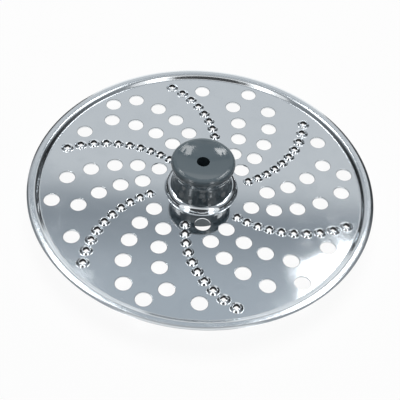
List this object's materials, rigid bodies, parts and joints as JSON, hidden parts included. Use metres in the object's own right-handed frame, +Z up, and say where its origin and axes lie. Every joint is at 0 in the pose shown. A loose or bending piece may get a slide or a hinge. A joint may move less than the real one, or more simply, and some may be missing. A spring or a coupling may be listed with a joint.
{
  "type": "food processor grating disc",
  "caption": "Round steel grating disc for a food processor, with swirling rows of pierced nubs and round holes, a raised rim, and a dark moulded hub with a knob on top.",
  "frame": {"origin": "centre of the hub's foot, on the surface that the disc stands on", "axes": "+Z up along the spindle's axis, from the foot to the knob; the pictured side faces -Y"},
  "size_m": [0.17, 0.17, 0.0331],
  "materials": {
    "sheet_steel": "polished",
    "hub_plastic": "gloss"
  },
  "bodies": {
    "root": {"grating_disc": "sheet_steel", "hub": "hub_plastic"}
  },
  "joints": []
}
